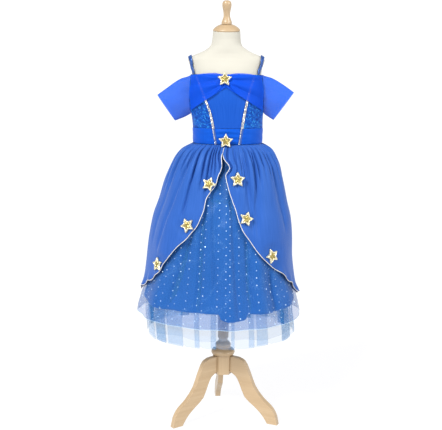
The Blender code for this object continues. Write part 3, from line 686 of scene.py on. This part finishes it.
def overskirt_points(side, columns=480, rows=64):
    """Half of the overskirt, from its front edge round to the middle of the back."""
    creases, edge = (CREASES_LEFT, EDGE_LEFT) if side == "left" else (CREASES_RIGHT, EDGE_RIGHT)
    slit = 0.15
    share = np.linspace(0, 1, columns)
    angle = slit + (180 - 2 * slit) * (0.55 * share + 0.45 * share**2.2)
    down = np.linspace(0, 1, rows)
    down = (0.7 * down + 0.3 * down**2)[:, None]
    turn = angle * 21 + 50 * wave(angle * 5)
    low = edge("height", angle) + 2.6 * wave(turn) * smooth(8, 25, angle)
    if side == "left":  # a tip hangs down toward the back
        low = low - 13 * bell(angle - 104, 8)
    height = SKIRT_TOP + (low[None, :] - SKIRT_TOP) * down
    angle = np.broadcast_to(angle[None, :], height.shape)
    own = gathers(angle, height, creases, 3 if side == "left" else 5)
    signed = SIGN[side] * angle
    near = smooth(34, 0, height - low)
    wavy = 2.4 * near * wave(turn + 70) * smooth(0, 14, GATHER_TOP - height)
    shown = own + 3.6 * laid_folds(OVERSKIRT_FOLDS, signed, height) + wavy
    deepest = 5.4 + sunk(height) * smooth(15, 45, height - low)
    trough = -deepest * (1 - np.exp(np.minimum(shown, 0) / deepest * 1.25))
    ridge = 6.5 * (1 - np.exp(-np.maximum(shown, 0) / 6.5))
    shown = np.where(shown < 0, trough, ridge)
    solid = FULLNESS("gather", height) * tube_wave(angle, creases)
    loose = calm(signed, height)
    held = np.minimum(shown, np.minimum(solid, 1.5) - 0.4)
    lifted = 3.0 * bell(angle, 5) * smooth(700, 760, height) * smooth(835, 815, height)
    turned_to = signed + SWAY(side, height) * smooth(18, 1, angle)
    return skirt_point(turned_to, height, 0, shown * loose + held * (1 - loose) + lifted)


def make_overskirt(side, finish, gold):
    points = overskirt_points(side)
    front = points[:-1, 0]
    line = np.concatenate([front[len(front) // 3 :], points[-1]])
    if side == "right":
        points = points[:, ::-1]
    skirt = cloth(f"overskirt {side}", points, finish, 0.7)
    rolled = tube(f"rolled edge {side}", line, 0.95, 8, gold)
    declare(points)


def round_points(layer, top, hem, columns, rows, own):
    """A layer all round the pole, from its top to its hem."""
    angle = np.linspace(-180, 180, columns, endpoint=False)
    height = top + (hem(angle)[None, :] - top) * np.linspace(0, 1, rows)[:, None]
    angle = np.broadcast_to(angle[None, :], height.shape)
    return skirt_point(angle, height, DEPTH_IN(layer, height), own(angle, height))


def covered(angle, height):
    """From 0 in the overskirt's open front and below its hem to 1 well under it."""
    away = np.abs(angle)
    edge = np.where(angle > 0, EDGE_LEFT("height", away), EDGE_RIGHT("height", away))
    return smooth(-25, 10, height - edge)


def recess(angle, height):
    """The layers sink back where the overskirt's two edges part."""
    return 7.5 * bell(angle, 12) * smooth(640, 740, height) * smooth(GATHER_TOP, 815, height)


def layer_own(angle, height, ripples, shown):
    """A layer's own folds: all that it shows in the open front, and less where it is covered."""
    under = covered(angle, height)
    return shown * (1 - under) + (0.5 * ripples - 1.4 - sunk(height)) * under - recess(angle, height)


def overlay_own(angle, height):
    ripples = FULLNESS("overlay_ripple", height) * ripple(angle, 16, 1.0)
    fine = 0.8 * smooth(600, 830, height) * smooth(850, 830, height) * ripple(angle, 40, 2.0)
    shown = ripples + 1.6 * fine + 2.6 * laid_folds(FRONT_FOLDS, angle, height)
    return layer_own(angle, height, ripples, shown)


def satin_own(angle, height):
    ripples = FULLNESS("satin_ripple", height) * ripple(angle, 11, 1.4)
    shown = ripples + 2.4 * laid_folds(FRONT_FOLDS, angle, height) - 0.8
    return layer_own(angle, height, ripples, shown)


def satin_hem(angle):
    """The solid's hem, with the front box pleat's upright sides."""
    return SATIN_HEM("height", angle) + SATIN_PLEAT("drop", angle)


def make_dots(overlay_points, finish):
    """Foil dots in upright lines, every other line half a step lower."""
    rows, columns = overlay_points.shape[:2]
    points = []
    faces = []
    lines = 54
    first = 30.0
    step = 23.0
    lift = 0.7
    a = np.arange(8) * pi / 4
    far = summed(gaps(overlay_points[:, 0]))
    seeded = np.random.RandomState(11)
    for k in range(lines):
        place = (k + 0.18 * seeded.randn()) / lines * columns
        c = int(place) % columns
        d = (c + 1) % columns
        t = place - int(place)
        at = first + (step / 2 if k % 2 else 0)
        while at < far[-1] - 6:
            row = np.interp(at + 1.2 * seeded.randn(), far, np.arange(rows))
            r = min(int(row), rows - 2)
            low, high = overlay_points[r : r + 2, c] * (1 - t) + overlay_points[r : r + 2, d] * t
            middle = low * (1 - row + r) + high * (row - r)
            down = unit(high - low)
            across = overlay_points[r, d] - overlay_points[r, c]
            across = unit(across - down * (across @ down))
            out = np.cross(down, across)
            tilt = 0.25 * seeded.randn(2)
            radius = 1.05 + 0.4 * seeded.rand() if seeded.rand() < 0.85 else 1.7
            rise = lift + radius * (tilt[0] * np.cos(a) + tilt[1] * np.sin(a))
            flat = np.outer(np.cos(a), across) + np.outer(np.sin(a), down)
            rim = middle + np.outer(rise, out) + radius * flat
            add_disc(points, faces, middle + out * (lift + 0.25), rim)
            at += step
    dots = add_mesh("foil dots", points, faces, finish)
    return dots


def overlay_hem(angle):
    return OVERLAY_HEM("height", angle)


def make_overlay():
    """The dotted sheer layer that shows in the overskirt's open front."""
    points = round_points("overlay", SKIRT_TOP - 0.3, overlay_hem, 400, 80, overlay_own)
    overlay = cloth("sparkle overlay", points, sparkle_net(), closed=True)
    hem = tube("overlay hem", points[-1], 0.55, 6, plain("overlay hem", (0.42, 0.56, 0.68), 0.6), closed=True)
    dots = make_dots(points, foil("foil dot", (0.40, 0.60, 0.88), (0.72, 0.85, 0.98), 0.3, 0.35))
    declare(ringed(points))


def make_underskirt(finish):
    points = round_points("satin", SKIRT_TOP - 0.3, satin_hem, 360, 70, satin_own)
    obj = cloth("underskirt", points, finish, 0.7, True)
    declare(ringed(points))


def pleated_line(pleats):
    """Angles round the net, to and fro through each pleat's layers, with each one's layer and pleat."""
    angles = []
    layers = []
    numbers = []
    for n, (low, high, count) in enumerate(pleats):
        next_one = (n + 1) % len(pleats)
        following = pleats[next_one][0] + (360 if next_one == 0 else 0)
        steps = max(4, int((high - low) / 1.8))
        for k in range(count):
            fold = np.linspace(low, high, steps)
            angles += list(fold if k % 2 == 0 else fold[::-1])
            layers += [1 - 2 * k / (count - 1)] * steps
            numbers += [n] * steps
        span = np.arange(high + 1.0, following - 0.6, 1.4)
        angles += list(span)
        layers += list(np.interp(span, (high, following), (-1.0, 1.0)))
        numbers += list(np.where(span < (high + following) / 2, n, next_one))
    return np.array(angles), np.array(layers), np.array(numbers)


def make_net_outer():
    """The outer net, folded to and fro in pleats."""
    angle, layer, number = pleated_line(NET_PLEATS)
    place = wrapped(angle)
    drops = np.random.RandomState(8).uniform(-6, 6, len(NET_PLEATS))
    low = NET_HEM("height", place) + drops[number] + 3.0 * (layer < -0.6)
    height = NET_TOP + (low[None, :] - NET_TOP) * np.linspace(0, 1, 40)[:, None]
    own = PLEAT("pleat", height) * layer + 0.8 * smooth(660, 300, height) * ripple(place, 9, 1.0)
    turn = np.broadcast_to(place[None, :], height.shape)
    points = skirt_point(turn, height, DEPTH_IN("net_outer", height), own)
    pale = net("petticoat net", (0.03, 0.22, 0.50), (0.05, 0.26, 0.54), 0.19)
    obj = cloth("petticoat outer", points, pale, closed=True)
    declare(ringed(points))


def net_inner_hem(angle):
    return NET_INNER_HEM + 4 * wave(angle * 7)


def net_inner_own(angle, height):
    return smooth(680, 420, height) * 1.5 * ripple(angle, 14, 1.0)


def make_net_inner():
    points = round_points("net_inner", NET_INNER_TOP, net_inner_hem, 280, 40, net_inner_own)
    palest = net("petticoat lining net", (0.22, 0.29, 0.38), (0.24, 0.32, 0.41), 0.19)
    obj = cloth("petticoat inner", points, palest, closed=True)
    declare(ringed(points))


# Bodice


def seam_angle(side, height):
    return SIGN[side] * np.degrees(np.arcsin(SEAMS(side, height) / FORM(side, height)))


def panel(name, left_edge, right_edge, columns, finish):
    """A fitted panel between two upright edges, with soft cross wrinkles near its sides."""
    share = np.linspace(0, 1, columns)[None, :]
    height = np.linspace(BODICE_TOP, BAND_TOP + 0.3, 60)[:, None]
    low = left_edge(height)
    angle = low + (right_edge(height) - low) * share
    height = np.broadcast_to(height, angle.shape)
    near_side = smooth(0.5, 0.0, np.minimum(share, 1 - share))
    wrinkles = 0.35 * np.sin(height / 9 + 3 * wave(angle * 3)) * near_side
    points = moved_out(FORM, angle, height, CLEAR + PANEL + wrinkles)
    obj = cloth(name, points, finish, 1.2)
    declare(points)


def make_bodice():
    slit = 0.1
    blue = satin("bodice satin", (0.006, 0.066, 0.39), (0.010, 0.078, 0.43))
    flecked = velvet()

    def at(angle):
        return lambda z: angle + 0 * z

    def by_seam(side, shift):
        return lambda z: seam_angle(side, z) + shift

    panel("bodice front centre", by_seam("right", slit), by_seam("left", -slit), 60, blue)
    panel("bodice side left", by_seam("left", slit), at(90 - slit), 60, flecked)
    panel("bodice side right", at(slit - 90), by_seam("right", -slit), 60, flecked)
    panel("bodice back left", at(90 + slit), at(180 - slit), 70, blue)
    panel("bodice back right", at(slit - 180), at(-90 - slit), 70, blue)


def make_waistband():
    """A band drawn in soft folds that meet at the front."""
    angle, height = np.meshgrid(np.linspace(-179.9, 179.9, 360), np.linspace(BAND_TOP, BAND_BOTTOM, 26))
    across = (height - BAND_MIDDLE) / 23
    front = bell(angle, 24)
    lines = np.sin(height / 2.6 + np.abs(angle) / 9 * across)
    own = 0.9 * front * lines + 0.22 * np.sin(height / 4 + angle / 7) * (1 - front)
    points = moved_out(FORM, angle, height, 4.4 + own - 0.9 * across**8)
    finish = satin("royal satin", (0.001, 0.064, 0.43), (0.003, 0.076, 0.48), 0.5)
    obj = cloth("waistband", points, finish, 1.0)
    declare(points)


def make_trim(side, tape, sequin):
    """Sequins in two close rows on a tape over a front seam, in one row on the waistband."""
    half_tape = 3.0
    half_gap = 1.45
    one_row_below = 893
    height = np.linspace(1040, 848, 90)[:, None]
    half = np.degrees(half_tape / FORM("depth", height))
    angle = seam_angle(side, height) + half * np.linspace(-1, 1, 5)[None, :]
    height = np.broadcast_to(height, angle.shape)
    points = moved_out(FORM, angle, height, TRIM("out", height) + 0.4)
    strip = cloth(f"seam trim {side}", points, tape)
    discs = []
    faces = []
    t = np.arange(7) * 2 * pi / 7
    seeded = np.random.RandomState(21 if side == "left" else 22)
    for z in np.arange(1038, 849, -2.3):
        for row in (-1, 1) if z > one_row_below else (-1,):
            z_here = z + (1.1 if row > 0 else 0)
            a = float(seam_angle(side, z_here)) + row * degrees(half_gap / float(FORM("depth", z_here)))
            centre = moved_out(FORM, a, z_here, TRIM("out", z_here) + 0.9)
            out = unit(outward(FORM, a, z_here) + 0.3 * seeded.randn(3))
            across = unit(np.cross(out, (0, 0, 1.0)))
            up = np.cross(across, out)
            size = 1.25 if z_here < 895 else 1.7
            rim = centre + size * (np.outer(np.cos(t), across) + np.outer(np.sin(t), up))
            add_disc(discs, faces, centre + out * 0.15, rim)
    row = add_mesh(f"sequins {side}", discs, faces, sequin)
    declare(points)


def drape_rise(angle, height):
    """Folds that fan out from under the star to each side."""
    left = angle > 0
    reach = np.where(left, FORM("left", height), FORM("right", height))
    across = reach * np.abs(wave(angle))
    fan = np.degrees(np.arctan2(height - FAN_HEIGHT, across + 8))
    swell = np.minimum(1.0, across / 35) * (1.0 - 0.55 * across / 105)
    folds = 0.5 + 0.5 * wave(fan * 14 + np.where(left, 40, 0) + 25 * np.sin(across / 17))
    sharp = 1 - np.abs(wave(fan * 7 + np.where(left, 20, 75) + 12 * np.sin(across / 22))) ** 0.8
    gathered = wave(fan * 22) * bell(across, 26)
    x = np.where(left, across, -across)
    free = smooth(16, 34, np.hypot(x - BUST_STAR[0], height - BUST_STAR[1]))
    rise = np.maximum(0.4 + 4.8 * swell * folds - 4.6 * swell * sharp + 1.6 * gathered, -0.9)
    return rise * free + (0.2 + 0.4 * gathered) * (1 - free)


def make_drape():
    angle = np.linspace(-70, 70, 280)[None, :]
    reach = 106 * np.abs(wave(angle))
    top = 1043 + 6 * wave(np.minimum(180.0, reach * 2.1))
    low = 1010 - 0.66 * reach
    share = np.linspace(0, 1, 64)[:, None]
    height = top + (low - top) * share
    angle = np.broadcast_to(angle, height.shape)
    edge = 1.6 * bell(share, 0.05) + 1.2 * bell(1 - share, 0.05)
    points = moved_out(FORM, angle, height, 6.2 + drape_rise(angle, height) - 0.7 * edge)
    chiffon = net("royal chiffon", (0.000, 0.060, 0.56), (0.001, 0.070, 0.60), 0.82, 0.6, 0.0006)
    obj = cloth("bust drape", points, chiffon)
    declare(points)


def make_sleeve(side, finish):
    """An open puff from the bodice's side out and down to its cuff."""
    shape = SLEEVES[side]
    share = np.linspace(0, 1, 30)[:, None]
    turn = np.linspace(0, 2 * pi, 96, endpoint=False)[None, :]
    crinkle = 0.07 * np.sin(3 * turn + 5 * share) + 0.035 * np.sin(11 * turn + 2) * np.exp(-share / 0.3)
    y = -shape("depth", share) / 2 * (1 + crinkle) * np.sin(turn)
    lean = np.radians(shape("lean", share))
    along = shape("width", share) / 2 * np.cos(turn)
    height = shape("middle", share) + along * np.cos(lean)
    x = shape("across", share) + along * np.sin(lean)
    reach = FORM(side, height) + CLEAR + PANEL
    deep = FORM("depth", height) + CLEAR + PANEL
    root = reach * np.sqrt(np.clip(1 - (y / deep) ** 2, 0, 1)) + 0.6
    join = smooth(0.22, 0.0, share)
    x = np.maximum(x * (1 - join) + root * join, np.where(share < 0.25, root, 0))
    points = np.stack(np.broadcast_arrays(SIGN[side] * x, y, height), axis=-1)
    if side == "right":
        points = points[:, ::-1]
    obj = cloth(f"sleeve {side}", points, finish, closed=True)
    declare(ringed(points))


def make_strap(side, finish):
    """A glitter strap over the shoulder, flat against the form along its middle line."""
    far = np.arange(0, 100, 0.05)
    line = []
    normals = []
    for turn in np.radians(np.linspace(0, 180, 61)):
        height = STRAP_FOOT + far * sin(turn)
        room = 1 - (far * cos(turn) / FORM("depth", height)) ** 2
        widest = float((FORM(side, height) * np.sqrt(np.clip(room, 0, 1))).max())
        x = min(91 + 13 * sin(turn) ** 2, 0.97 * widest)
        reach = far[(x / FORM(side, height)) ** 2 < room].max()
        place = np.array([SIGN[side] * x, -reach * cos(turn), STRAP_FOOT + reach * sin(turn)])
        over = float(FORM(side, place[2]))
        angle = degrees(atan2(place[0] / over, -place[1] / float(FORM("depth", place[2]))))
        normals.append(outward(FORM, angle, place[2]))
        line.append(place + 3.7 * normals[-1])
    line = np.array(line)
    for _ in range(3):
        line[1:-1] = (line[:-2] + 2 * line[1:-1] + line[2:]) / 4
    across = unit(np.cross(np.gradient(line, axis=0), np.array(normals)))
    if across[0, 0] < 0:
        across = -across
    half = 5.6
    points = line[:, None] + across[:, None] * np.linspace(-half, half, 5)[None, :, None]
    strap = cloth(f"strap {side}", points, finish, 1.0)
    declare(points)


# Stars


def star_frame(name):
    """A star's middle, directions and radius, read from its own solid."""
    points = np.array([tuple(v.co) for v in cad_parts[name].data.vertices]) / MM
    points = np.unique(np.round(points, 3), axis=0)
    middle = points.mean(axis=0)
    away = points - middle
    facing = np.linalg.svd(away, full_matrices=False)[2][2]
    if facing @ (middle - (POLE_X, 0, middle[2])) < 0:
        facing = -facing
    flat = away - np.outer(away @ facing, facing)
    reach = np.linalg.norm(flat, axis=1)
    radius = reach.max()
    far = flat[reach > 0.985 * radius]
    upward = unit(far[np.argmax(far[:, 2])])
    centre = middle + facing * (away @ facing).min() - (POLE_X, 0, 0)
    return centre, np.cross(upward, facing), upward, facing, radius


def star_edge(turn):
    """How far a five-point star reaches at an angle, as a share of its radius."""
    off = np.abs((turn - pi / 2 + pi / 5) % (2 * pi / 5) - pi / 5)
    notch_x = STAR_NOTCH * cos(pi / 5)
    notch_y = STAR_NOTCH * sin(pi / 5)
    return notch_y / (notch_y * np.cos(off) + (1 - notch_x) * np.sin(off))


def make_star(name, rim, middle_foil, thread):
    """A stuffed star: a plump rim round a sunk star, on a flat back; the rim's pale foil is a painted
    highlight, the middle's dark foil painted shade and dark reflection.
    """
    centre, across, upward, facing, radius = star_frame(name)
    count = 120
    turn = pi / 2 + np.arange(count) * 2 * pi / count
    soft = star_edge(turn)
    for _ in range(2):
        soft = (np.roll(soft, 1) + 2 * soft + np.roll(soft, -1)) / 4
    seeded = np.random.RandomState(sum(ord(k) for k in name))
    pucker = np.zeros(count)
    for k in (15, 20, 30):
        pucker += np.sin(k * turn + 6.28 * seeded.rand()) * 0.16
    spokes = across * np.cos(turn)[:, None] + upward * np.sin(turn)[:, None]
    rings = []
    for share, rise in STAR_RINGS:
        crinkle = pucker * (1.2 if 0.5 < share < 0.9 else 0.6) * (rise > 2)
        ring = centre + (radius * share * soft)[:, None] * spokes
        rings.append(ring + facing * (rise + crinkle)[:, None])
    rows = len(rings)
    last = (rows - 1) * count
    points = np.concatenate(rings + [[centre + facing * 5.2], [centre]])
    faces = [f[::-1] for f in grid_faces(rows, count, True)]
    faces += [(last + k, last + (k + 1) % count, rows * count) for k in range(count)]
    faces += [((k + 1) % count, k, rows * count + 1) for k in range(count)]
    # The outer ten bands and the flat back take the pale foil with its painted highlight; the sunk middle
    # takes the dark foil with painted shade.
    kinds = [0] * 10 * count + [1] * (rows - 10) * count + [0] * count
    title = name.replace("_", " ")
    obj = add_mesh(title, points, faces, [rim, middle_foil], face_finish=kinds)
    seam = tube(title + " stitching", rings[10] + facing * 0.15, 0.25, 5, thread, closed=True)
    takes_place(obj)


# Form and stand


def make_form():
    """The jersey torso, closed above and below, its neck cut at a slant."""
    parts = ((FORM_BOTTOM, 1050, 56), (1054, 1130, 44), (NECK_FOOT + 1, NECK_TOP, 12))
    heights = np.concatenate([np.linspace(*part) for part in parts])
    turns, height = np.meshgrid(np.linspace(-180, 180, 112, endpoint=False), heights)
    points = base_point(FORM, turns, height)
    lean = np.clip((height - NECK_FOOT) / (NECK_TOP - NECK_FOOT), 0, None)
    points[..., 2] += lean * points[..., 1] * sin(radians(NECK_TILT))
    rows, columns = points.shape[:2]
    count = rows * columns
    last = count - columns
    faces = [f[::-1] for f in grid_faces(rows, columns, True)]
    faces += [(last + k, last + (k + 1) % columns, count) for k in range(columns)]
    faces += [((k + 1) % columns, k, count + 1) for k in range(columns)]
    uv = np.concatenate([lengths(points).reshape(-1, 2), [[0, 0], [0, 0]]])
    ends = [[0, 0, NECK_TOP], [0, 0, FORM_BOTTOM]]
    obj = add_mesh("form torso", np.concatenate([points.reshape(-1, 3), ends]), faces, jersey(), uv)
    takes_place(obj)


def make_neck(wooden):
    """The wooden cap and its turned handle, tilted with the neck."""
    cap = turned("neck cap", smooth_line(CAP_PROFILE, 5), 72, wooden["cap"])
    handle = turned("neck handle", smooth_line(HANDLE_PROFILE, 5), 64, wooden["pole"])
    to_neck = Matrix.Translation((POLE_X * MM, 0, NECK_TOP * MM))
    lean = Matrix.Rotation(radians(NECK_TILT), 4, "X")
    for piece in (cap, handle):
        piece.data.transform(to_neck @ lean @ Matrix.Translation((-POLE_X * MM, 0, 0)))


def make_stand(wooden):
    """The turned collar and pole, and softer edges on the solids of the hub and legs."""
    turned("stand collar", smooth_line(COLLAR_PROFILE, 4), 72, wooden["pole"])
    profile = ((POLE_RADIUS, POLE_BOTTOM), (POLE_RADIUS, FORM_BOTTOM - 0.3))
    turned("stand pole", profile, 64, wooden["pole"])
    for name in list(LEG_ANGLES) + ["stand_hub"]:
        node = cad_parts[name]
        node.data.materials.clear()
        node.data.materials.append(wooden[name])
        soft = node.modifiers.new("soft edge", "BEVEL")
        soft.width = 0.0016
        soft.segments = 3
        soft.limit_method = "ANGLE"
        soft.angle_limit = radians(50)


# Stage


def make_floor():
    """A pale floor and a low round wall of the same stuff, open above for the lamps."""
    mesh = bpy.data.meshes.new("floor")
    sides = 48
    turns = [2 * pi * k / sides for k in range(sides)]
    corners = [(ROOM_RADIUS * cos(a), ROOM_RADIUS * sin(a), z) for z in (0, ROOM_HEIGHT) for a in turns]
    walls = [(k, (k + 1) % sides, sides + (k + 1) % sides, sides + k) for k in range(sides)]
    mesh.from_pydata(corners, [], [tuple(range(sides))] + walls)
    glow = {"glow": (0.90, 0.90, 0.91, 1), "glow_strength": 1.0}
    pale = Paint("pale floor", base=(0.12, 0.12, 0.12, 1), roughness=0.9, gloss=0.1, **glow)
    mesh.materials.append(pale.material)
    floor = link(bpy.data.objects.new("floor", mesh))
    floor.location.z = -0.0005


def make_lights():
    world = bpy.data.worlds.new("studio")
    world.use_nodes = True
    sky = world.node_tree.nodes["Background"]
    sky.inputs["Color"].default_value = (1, 1, 1, 1)
    sky.inputs["Strength"].default_value = 0.45
    bpy.context.scene.world = world
    bpy.context.scene.view_settings.view_transform = "Standard"
    lamps = (("key", (-1.5, -2.0, 2.2), 3.6, 14), ("fill", (2.2, -1.4, 1.2), 1.9, 30))
    for name, place, power, spread in lamps:
        data = bpy.data.lights.new(name, "SUN")
        data.energy = power
        data.angle = radians(spread)
        lamp = link(bpy.data.objects.new(name, data))
        lamp.rotation_mode = "QUATERNION"
        lamp.rotation_quaternion = (-Vector(place)).to_track_quat("-Z", "Y")


def make_camera():
    data = bpy.data.cameras.new("camera")
    data.sensor_width = 36.0
    data.lens = 70.05
    camera = link(bpy.data.objects.new("camera", data))
    distance = 2.544
    height = 1.059
    downward = radians(9.57)
    roll = 0.0106
    place = Matrix.Translation(((POLE_X - 10.6) * MM, -distance, height))
    pitch = Matrix.Rotation(pi / 2 - downward, 4, "X")
    camera.matrix_world = place @ pitch @ Matrix.Rotation(roll, 4, "Z")
    bpy.context.scene.camera = camera


# Whole


def make_skirt():
    blue = satin("overskirt satin", (0.021, 0.084, 0.335), (0.028, 0.098, 0.380))
    under = satin("underskirt satin", (0.012, 0.090, 0.370), (0.018, 0.106, 0.420))
    gold_edge = glitter("rolled edge", (0.50, 0.50, 0.50), (0.92, 0.90, 0.84), 900.0, 0.1, 0.4)
    for side in SIGN:
        make_overskirt(side, blue, gold_edge)
    make_overlay()
    make_underskirt(under)
    make_net_outer()
    make_net_inner()


def make_top():
    make_bodice()
    make_waistband()
    tape = plain("trim tape", (0.05, 0.10, 0.30), 0.6)
    sequin = glitter("sequin", (0.45, 0.41, 0.33), (0.96, 0.94, 0.88), 380.0, 0.6, 0.3, False)
    for side in SIGN:
        make_trim(side, tape, sequin)
    make_drape()
    sleeve_net = net("royal net", (0.002, 0.086, 0.58), (0.008, 0.112, 0.64), 0.79)
    for side in SIGN:
        make_sleeve(side, sleeve_net)
    strap_glitter = glitter("glitter strap", (0.006, 0.030, 0.16), (0.04, 0.14, 0.45), 700.0)
    for side in SIGN:
        make_strap(side, strap_glitter)


def make_stars():
    # One gold foil in two shades: the pale copy is a painted highlight on the raised rim, the dark copy
    # painted shade and dark reflection in the sunk middle.
    rim = foil("star rim gold with painted highlight", (0.58, 0.53, 0.33), (0.86, 0.81, 0.60), 0.3, 0.7)
    deep = foil("gold foil", (0.20, 0.15, 0.03), (0.52, 0.43, 0.17), 0.28, 0.85)
    thread = plain("thread", (0.45, 0.38, 0.20), 0.6)
    for name in sorted(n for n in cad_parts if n.startswith("star_")):
        make_star(name, rim, deep, thread)


def main():
    make_floor()
    make_lights()
    make_camera()
    make_skirt()
    make_top()
    make_stars()
    wooden = {name: wood(f"wood {name}", turn) for name, turn in LEG_ANGLES.items()}
    wooden["stand_hub"] = wood("wood hub", 0, "Z")
    wooden["pole"] = wood("wood pole", 0, "Z")
    wooden["cap"] = wood("wood cap", 0, "X")
    make_form()
    make_neck(wooden)
    make_stand(wooden)


main()
